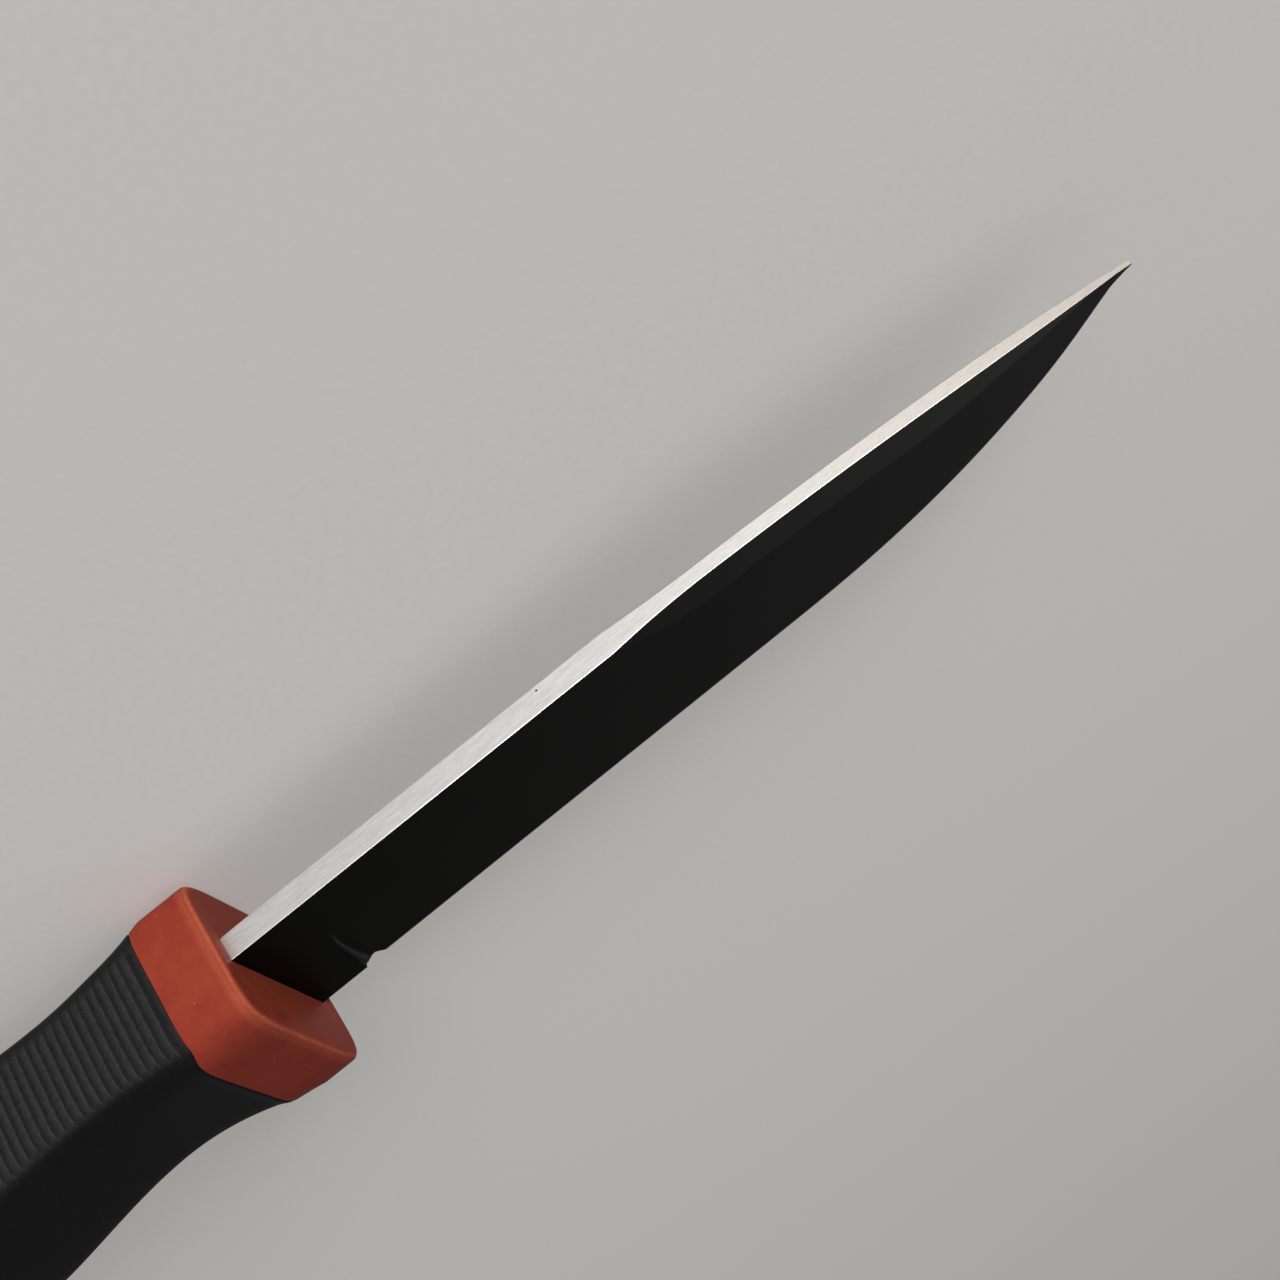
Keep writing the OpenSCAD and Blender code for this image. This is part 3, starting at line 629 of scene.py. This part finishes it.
# %% [markdown]
# Moulded polymer with a satin skin: the surface is never quite even, because the pigment and the
# cooling leave soft clouds a few millimetres wide, and the mould's spark-eroded skin gives a fine
# grain. Rubbed edges are a little more orange, and the round of the front edge carries a painted
# highlight in that colour as well. Both are worked out per point: strong where the front edge is
# round and fading away behind it.

# %% Finish of the bolster
SEAM_WEAR, BACK_WEAR, RIM_WEAR, WEAR_AND_HIGHLIGHT_POWER = 0.6, 0.45, 0.3, 5
DUST_SPACING, DUST_RADIUS = 2.0, 0.07
# The grain of the mould is finer than 0.1 mm. It is drawn 0.35 mm wide, so that it shows.
CLOUD_SIZE, MOTTLE_SIZE, GRAIN_SIZE, GRAIN_DEPTH = 5.0, 0.5, 0.35, 0.012
# The front edge's round is rubbed and carries a painted highlight, most of all halfway round
round_share = np.maximum(np.sin(np.linspace(0, np.pi, FRONT_STEPS)) ** WEAR_AND_HIGHLIGHT_POWER,
                         np.linspace(BACK_WEAR, 0, FRONT_STEPS))
wear_and_highlight_by_ring = np.zeros(len(bolster_rings))
wear_and_highlight_by_ring[:SEAM_STEPS] = np.linspace(SEAM_WEAR, 0, SEAM_STEPS)
wear_and_highlight_by_ring[len(outside) - FRONT_STEPS:len(outside)] = round_share
wear_and_highlight_by_ring[len(outside):pocket_floor - 1] = RIM_WEAR
store(bolster, "edge_wear_and_highlight", np.repeat(wear_and_highlight_by_ring, BOLSTER_POINTS))
print("rubbed rings:", int((wear_and_highlight_by_ring > 0).sum()), "of", len(wear_and_highlight_by_ring))


def moulded_nylon(name, deep, pale, rubbed_and_lit, speck):
    """Two near colours in soft clouds, a rubbed colour, which is also a painted highlight, where the
    skin stores wear and highlight, broken by a fine mottle, a few pale specks of dust, and a fine grain."""
    material, tree = new_material(name)
    place = add(tree, "TexCoord").outputs["Object"]
    clouds = add(tree, "TexNoise", {"Vector": place, "Scale": 1 / (CLOUD_SIZE * MM), "Detail": 6.0,
                                    "Roughness": 0.65}).outputs["Fac"]
    cloud = add(tree, "MapRange", {"Value": clouds, "From Min": 0.3, "From Max": 0.7}).outputs["Result"]
    mix = add(tree, "Mix", {"Factor": cloud, FIRST: deep, SECOND: pale}, data_type="RGBA")
    colour = specked(tree, mix.outputs[MIXED], place, DUST_SPACING, DUST_RADIUS, speck)
    mottle = add(tree, "TexNoise", {"Vector": place, "Scale": 1 / (MOTTLE_SIZE * MM), "Detail": 3.0})
    share = add(tree, "MapRange", {"Value": mottle.outputs["Fac"], "From Min": 0.35, "From Max": 0.65,
                                   "To Min": 0.55}).outputs["Result"]
    wear_and_highlight = add(tree, "Attribute", attribute_name="edge_wear_and_highlight").outputs["Fac"]
    broken = add(tree, "Math", {0: wear_and_highlight, 1: share}, operation="MULTIPLY").outputs["Value"]
    mix = add(tree, "Mix", {"Factor": broken, FIRST: colour, SECOND: rubbed_and_lit}, data_type="RGBA")
    rough = add(tree, "MapRange", {"Value": clouds, "To Min": 0.4, "To Max": 0.55}).outputs["Result"]
    grain = add(tree, "TexNoise", {"Vector": place, "Scale": 1 / (GRAIN_SIZE * MM), "Detail": 2.0})
    bump = add(tree, "Bump", {"Height": grain.outputs["Fac"], "Distance": GRAIN_DEPTH * MM,
                              "Strength": 1.0})
    shader = add(tree, "BsdfPrincipled", {"Base Color": mix.outputs[MIXED], "IOR": 1.53,
                                          "Specular IOR Level": 0.05, "Roughness": rough,
                                          "Normal": bump.outputs["Normal"]})
    add(tree, "OutputMaterial", {"Surface": shader.outputs["BSDF"]})
    return material


# The third colour is rubbed wear, and on the front edge's round a painted highlight as well
red_nylon = moulded_nylon("moulded brick red nylon", "#94382c", "#a64532", "#c8684a", "#d8a595")
bolster.data.materials.append(red_nylon)
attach(bolster, "root")
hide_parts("bolster")

# %% [markdown]
# ## The rubber grip
#
# A thermoplastic rubber sleeve is moulded over the hard core. Ribs run across its back and its edge
# side like the scales of a fish: each rises steeply behind a groove, on half a cosine wave, and then
# slopes gently down to the next groove, on a power curve. The grooves waver by a twentieth of a
# millimetre, on two crossed sine waves. They run out before the section turns the corner, a little
# earlier on the left, which leaves both sides smooth.

# %% Grooved skin of the grip
GRIP_POINTS, GRIP_RADIUS, GRIP_GAP, GRIP_STEP_RUN = 136, 0.3, 0.02, 10.0
CROWN_SHARE, SLOPE_POWER = 0.24, 1.2
# The two crossed waves: their height, and for each how fast it runs across and along, and its start
WAVER, WAVES = 0.03, ((1.3, 1.9, 0), (2.9, -1.1, 1))
# Where the grooves have run out, as shares of the half width and half height, and over what share
LEFT_END, LEFT_RUN, RIGHT_END, RIGHT_RUN, FLANK, FLANK_RUN = 0.76, 0.22, 0.86, 0.14, 0.5, 0.2
groove_count = int((GRIP_LENGTH - 2 * GROOVE_MARGIN) // GROOVE_PITCH) + 1
first_groove = -BOLSTER_LENGTH - GROOVE_MARGIN
grooves = first_groove - GROOVE_PITCH * np.arange(groove_count)
rib_steps = np.array([0, 0.05, 0.1, 0.15, 0.2, 0.24, 0.4, 0.6, 0.8, 0.92])
wave_x = (grooves[:, None] - GROOVE_PITCH * rib_steps).ravel()
grip_ends = (GRIP_REAR + GRIP_GAP, -BOLSTER_LENGTH - GRIP_GAP)
front_x, front_inset = rounded_end(grip_ends[1], GRIP_RADIUS, SEAM_STEPS, 1)
rear_x, rear_inset = rounded_end(grip_ends[0], GRIP_RADIUS, SEAM_STEPS, -1)
# Rings between the rounded ends: a few before the first groove, then the steps of each rib
middle_x = np.sort(np.concatenate([wave_x, [-10.5, -10.8, -11, -11.1]]))[::-1]
middle_x = middle_x[middle_x > GRIP_REAR + 0.5]
grip_x = np.concatenate([front_x[::-1], middle_x, rear_x])
grip_inset = np.concatenate([front_inset[::-1], np.zeros(len(middle_x)), rear_inset])


def groove_wave(x):
    """0 on a rib's crown and 1 at the foot of a groove, from how far x lies behind its groove."""
    phase = (first_groove - x) / GROOVE_PITCH
    behind = phase % 1
    front = 1 - ease(behind / CROWN_SHARE)
    slope = np.clip((behind - CROWN_SHARE) / (1 - CROWN_SHARE), 0, 1) ** SLOPE_POWER
    inside = (phase > CROWN_SHARE - 1) & (phase < groove_count - 1 + CROWN_SHARE)
    return np.where(inside, np.maximum(front, slope), 0)


grip_rings = oval_rings(grip_x, grip_inset, GRIP_POINTS)
y, z = grip_rings[..., 1], grip_rings[..., 2]
tall, wide = np.abs(y).max(axis=1, keepdims=True), np.abs(z).max(axis=1, keepdims=True)
out = np.stack([np.sign(y) * np.abs(y / tall) ** (OVAL_POWER - 1) / tall,
                np.sign(z) * np.abs(z / wide) ** (OVAL_POWER - 1) / wide], axis=-1)
out /= np.linalg.norm(out, axis=-1, keepdims=True)
side, back = np.abs(z) / wide, np.abs(y) / tall
run_out = np.where(z < 0, (LEFT_END - side) / LEFT_RUN, (RIGHT_END - side) / RIGHT_RUN)
fade = ease(run_out) * ease((back - FLANK) / FLANK_RUN)
sink = GROOVE_DEPTH * groove_wave(grip_x)[:, None] * fade
grip_rings[..., 1:] -= out * sink[..., None]
waver = WAVER * sum(np.sin(fast * z + slow * grip_rings[..., 0] + start) for fast, slow, start in WAVES)
behind = -grip_x - BOLSTER_LENGTH
grip_rings[..., 0] += seam_shift(GRIP_POINTS, behind) + waver * fade
grip_rings[..., 2] += left_step(grip_rings, behind, GRIP_STEP_RUN)
bore = [bar_ring(x, *core_bore, GRIP_POINTS) for x in grip_ends]
grip_rings = np.concatenate([grip_rings, bore])
grip = skin("rubber_grip", grip_rings, wrap=True, sharp_rings=[len(grip_rings) - 2, len(grip_rings) - 1])
print("grooves:", groove_count, "on each side")

# %% [markdown]
# The light on the crown of each rib and the shade in the grooves and on the rib's rear slope are
# painted in, worked out here per point as a share from 0 in a groove to 1 on a lit crown. The smooth
# sides are painted in shade, and the band before the first groove a little darker.

# %% Painted light and shade of the ribs
RIB_LIGHT_PLACES = np.array([0, 0.05, 0.2, 0.28, 0.6, 0.9, 1])
RIB_LIGHT_SHARES = np.array([0.2, 0.25, 0.9, 1, 0.85, 0.75, 0.3])
SIDE_LIGHT, FRONT_LIGHT = 0.1, 0.6
rib_light = np.interp(((first_groove - grip_x) / GROOVE_PITCH) % 1, RIB_LIGHT_PLACES, RIB_LIGHT_SHARES)
# The band before the first groove is painted darker
rib_light = np.where(grip_x > first_groove, FRONT_LIGHT * rib_light, rib_light)
# Painted shade on the smooth sides, where the grooves have run out
store(grip, "painted_light", SIDE_LIGHT + (rib_light[:, None] - SIDE_LIGHT) * fade)
print("polish of the ribs:", rib_light.min().round(2), "to", rib_light.max().round(2))

# %% [markdown]
# Thermoplastic rubber is a soft black that is never deep: its matte skin scatters a little light, and
# dust stays in it. A pebbled grain of about 0.2 mm comes from the mould.

# %% Finish of the grip
NICK_SPACING, NICK_RADIUS = 1.3, 0.05
PATCH_SIZE, PEBBLE_SIZE, PEBBLE_DEPTH = 0.9, 0.22, 0.03


def moulded_rubber(name, deep, dusty_and_lit, speck):
    """Two near blacks, mixed by patches of dust and by the painted light and shade that the skin
    stores, pale nicks, and a pebbled grain."""
    material, tree = new_material(name)
    place = add(tree, "TexCoord").outputs["Object"]
    patches = add(tree, "TexNoise", {"Vector": place, "Scale": 1 / (PATCH_SIZE * MM), "Detail": 6.0,
                                     "Roughness": 0.8}).outputs["Fac"]
    patch = add(tree, "MapRange", {"Value": patches, "From Min": 0.3, "From Max": 0.7,
                                   "To Min": 0.45, "To Max": 1.5}).outputs["Result"]
    # The stored share of painted light: the lit grey on rib crowns, the near black in painted shade
    painted_light = add(tree, "Attribute", attribute_name="painted_light").outputs["Fac"]
    share = add(tree, "Math", {0: patch, 1: painted_light}, operation="MULTIPLY").outputs["Value"]
    mix = add(tree, "Mix", {"Factor": share, FIRST: deep, SECOND: dusty_and_lit}, data_type="RGBA")
    colour = specked(tree, mix.outputs[MIXED], place, NICK_SPACING, NICK_RADIUS, speck)
    pebbles = add(tree, "TexNoise", {"Vector": place, "Scale": 1 / (PEBBLE_SIZE * MM), "Detail": 2.0})
    bump = add(tree, "Bump", {"Height": pebbles.outputs["Fac"], "Distance": PEBBLE_DEPTH * MM,
                              "Strength": 1.0})
    shader = add(tree, "BsdfPrincipled", {"Base Color": colour, "Roughness": 0.64, "IOR": 1.5,
                                          "Specular IOR Level": 0.2, "Normal": bump.outputs["Normal"]})
    add(tree, "OutputMaterial", {"Surface": shader.outputs["BSDF"]})
    return material


# The near black shows where shade is painted, the dusty grey where light is painted
grip_rubber = moulded_rubber("moulded black thermoplastic rubber", "#090a0b", "#343434", "#5e5e5c")
grip.data.materials.append(grip_rubber)
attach(grip, "root")
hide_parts("grip_sleeve")
print("finish of the grip:", grip_rubber.name)

# %% [markdown]
# ## The butt cap
#
# A glass-filled nylon cap closes the handle. Its skin runs like the bolster's, from the front face
# over the outside and the round rear edge, into the nut's pocket and out through the tang's hole. The
# lanyard hole crosses it from side to side, which no stack of rings can follow, so that one hole is
# cut with a Boolean from a closed skin, and the result is kept as a plain mesh.

# %% Skin of the butt cap
BUTT_POINTS, REAR_STEPS, HOLE_POINTS, CREASE_ANGLE = 256, 25, 96, 32
# Depths in the nut pocket's soft rim, and how much wider it is there
NUT_RIM = ((0, 0.4), (0.12, 0.12), (0.4, 0))
front_x, front_inset = rounded_end(GRIP_REAR, SEAM_RADIUS, SEAM_STEPS, 1)
rear_x, rear_inset = rounded_end(BUTT_REAR, REAR_RADIUS, REAR_STEPS, -1)
plain_x = np.linspace(GRIP_REAR - 1, BUTT_REAR + 4, 12)
outside_x = np.concatenate([front_x[::-1], plain_x, rear_x])
outside_inset = np.concatenate([front_inset[::-1], np.zeros(len(plain_x)), rear_inset])
outside = oval_rings(outside_x, outside_inset, BUTT_POINTS)
nut_pocket = [round_ring(BUTT_REAR + deep, NUT_POCKET_RADIUS + grow, BUTT_POINTS)
              for deep, grow in (*NUT_RIM, (NUT_POCKET_DEPTH, 0))]
stud_hole = [round_ring(x, STUD_HOLE_RADIUS, BUTT_POINTS)
             for x in (BUTT_REAR + NUT_POCKET_DEPTH, GRIP_REAR)]
butt = skin("butt_cap_moulding", np.concatenate([outside, nut_pocket, stud_hole]), wrap=True)


def cut_with(piece, cutter):
    """Subtracts a closed mesh from a piece for good, and throws the cutter away."""
    boolean = piece.modifiers.new("cut", "BOOLEAN")
    boolean.operation, boolean.solver, boolean.object = "DIFFERENCE", "EXACT", cutter
    graph = bpy.context.evaluated_depsgraph_get()
    cut = bpy.data.meshes.new_from_object(piece.evaluated_get(graph))
    piece.modifiers.clear()
    old, piece.data = piece.data, cut
    bpy.data.meshes.remove(old)
    bpy.data.objects.remove(cutter)


tube_low, tube_high = (np.array(corner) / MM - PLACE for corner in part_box("lanyard_tube"))
tube_x, tube_y = (tube_low + tube_high)[:2] / 2
turn = 2 * np.pi * np.arange(HOLE_POINTS) / HOLE_POINTS
hole_x = tube_x + LANYARD_TUBE_RADIUS * np.cos(turn)
hole_y = tube_y + LANYARD_TUBE_RADIUS * np.sin(turn)
hole = np.stack([np.stack([hole_x, hole_y, np.full(HOLE_POINTS, z)], axis=1)
                 for z in (-BUTT_WIDTH, BUTT_WIDTH)])
cut_with(butt, skin("lanyard_cutter", hole))
butt.data.shade_smooth()
butt.data.set_sharp_from_angle(angle=np.radians(CREASE_ANGLE))
print("butt cap after the cut:", len(butt.data.polygons), "faces")

# %% [markdown]
# Glass-filled nylon has a matte black skin, clouded by the fibres just under it. The finish of the
# bolster can make that too, in near blacks. The small parts inside keep their CAD meshes, because
# their shapes are plain, and get the finish of the way each is really made: turned or ground steel,
# hard nylon, or sheet rubber.

# %% Finish of the butt cap, and of the CAD nodes that stay
butt_nylon = moulded_nylon("glass filled black nylon", "#202021", "#29292a", "#343435", "#5e5e5c")
butt.data.materials.append(butt_nylon)
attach(butt, "root")
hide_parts("butt_cap")

core_nylon = moulded_nylon("glass filled core nylon", "#2b2b2b", "#333333", "#3a3a3a", "#5e5e5c")
sheet_rubber = moulded_rubber("nitrile sheet rubber", "#3a3a3a", "#4a4a4a", "#5e5e5c")
NODE_FINISHES = {"lanyard_tube": turned_steel, "tang_washer": turned_steel, "tang_nut": turned_steel,
                 "tang_pins": ground_pin_steel, "bolster_dowels": ground_pin_steel,
                 "grip_core": core_nylon, "tang_gasket": sheet_rubber}
for node_name, finish in NODE_FINISHES.items():
    node_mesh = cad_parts[node_name].data
    if not node_mesh.materials:
        node_mesh.materials.append(finish)
    for index in range(len(node_mesh.materials)):
        node_mesh.materials[index] = finish
    print(node_name, "is made of", finish.name)

# %% [markdown]
# ## Floor, light and camera
#
# The floor is a wide sheet of pale matte paper, lifted a little where it is seen straight or in a
# mirror, so that the backdrop stays pale under a plain light. One large soft lamp stands low on the
# spine's side, as in the photograph, and an even grey world fills the rest.

# %% Floor
# Fibres of paper are finer than 0.1 mm. Their clouds are drawn 1.2 mm wide, so that they show.
FLOOR_HALF, BACKDROP_LIFT, FIBRE_SIZE = 3.0, 0.3, 1.2
floor_corners = [(FLOOR_HALF * i, FLOOR_HALF * j, 0) for i, j in ((-1, -1), (1, -1), (1, 1), (-1, 1))]
floor_mesh = bpy.data.meshes.new("floor")
floor_mesh.from_pydata(floor_corners, [], [(0, 1, 2, 3)])
floor = bpy.data.objects.new("floor", floor_mesh)
bpy.context.scene.collection.objects.link(floor)
paper, tree = new_material("pale matte paper")
place = add(tree, "TexCoord").outputs["Object"]
fibres = add(tree, "TexNoise", {"Vector": place, "Scale": 1 / (FIBRE_SIZE * MM), "Detail": 3.0})
tone = add(tree, "Mix", {"Factor": fibres.outputs["Fac"], FIRST: "#dad8d5", SECOND: "#e0dedb"},
           data_type="RGBA").outputs[MIXED]
ray = add(tree, "LightPath")
seen = ray.outputs["Is Camera Ray"]
for kind in ("Is Glossy Ray", "Is Transmission Ray"):
    seen = add(tree, "Math", {0: seen, 1: ray.outputs[kind]}, operation="MAXIMUM").outputs["Value"]
lift = add(tree, "Math", {0: seen, 1: BACKDROP_LIFT}, operation="MULTIPLY")
shader = add(tree, "BsdfPrincipled", {"Base Color": tone, "Roughness": 0.85, "Emission Color": tone,
                                      "Emission Strength": lift.outputs["Value"]})
add(tree, "OutputMaterial", {"Surface": shader.outputs["BSDF"]})
floor.data.materials.append(paper)
print("floor:", 2 * FLOOR_HALF, "m wide")

# %% Light
KEY_DIRECTION = Vector((0.26, 0.94, 0.22)).normalized()
KEY_DISTANCE, KEY_WIDTH, KEY_HEIGHT, KEY_POWER = 1.6, 1.1, 0.66, 20.0
WORLD_GREY = "#787776"
lamp_data = bpy.data.lights.new("key", "AREA")
lamp_data.shape, lamp_data.energy = "RECTANGLE", KEY_POWER
lamp_data.size, lamp_data.size_y = KEY_WIDTH, KEY_HEIGHT
lamp = bpy.data.objects.new("key", lamp_data)
lamp.location = KEY_DIRECTION * KEY_DISTANCE
lamp.rotation_euler = KEY_DIRECTION.to_track_quat("Z", "Y").to_euler()
bpy.context.scene.collection.objects.link(lamp)

world = bpy.data.worlds.new("studio")
world.use_nodes = True
world.node_tree.nodes["Background"].inputs["Color"].default_value = linear(WORLD_GREY)
bpy.context.scene.world = world
bpy.context.scene.view_settings.view_transform = "Standard"
print("lamp:", KEY_POWER, "W,", KEY_DISTANCE, "m away, under a world of", WORLD_GREY)

# %% [markdown]
# The camera's place was worked out from the blade's corners in the photograph, with a 50 mm lens on
# a 36 mm wide picture. The blade lies parallel to the picture, 237 mm away, and rises at 39 degrees.

# %% Camera
CAMERA_PLACE = Vector((54.1, 218.14, 131.89)) * MM
CAMERA_RIGHT = Vector((0.7795, -0.3084, 0.5452)).normalized()
CAMERA_UP = Vector((0.6263, 0.3879, -0.6762))
camera_data = bpy.data.cameras.new("camera")
camera_data.lens, camera_data.sensor_width, camera_data.clip_start = 50.0, 36.0, 0.01
camera = bpy.data.objects.new("camera", camera_data)
back = CAMERA_RIGHT.cross(CAMERA_UP).normalized()
turned = Matrix((CAMERA_RIGHT, back.cross(CAMERA_RIGHT), back)).transposed()
camera.matrix_world = Matrix.Translation(CAMERA_PLACE) @ turned.to_4x4()
bpy.context.scene.collection.objects.link(camera)
bpy.context.scene.camera = camera
print("camera at", [round(c / MM, 1) for c in CAMERA_PLACE], "mm")
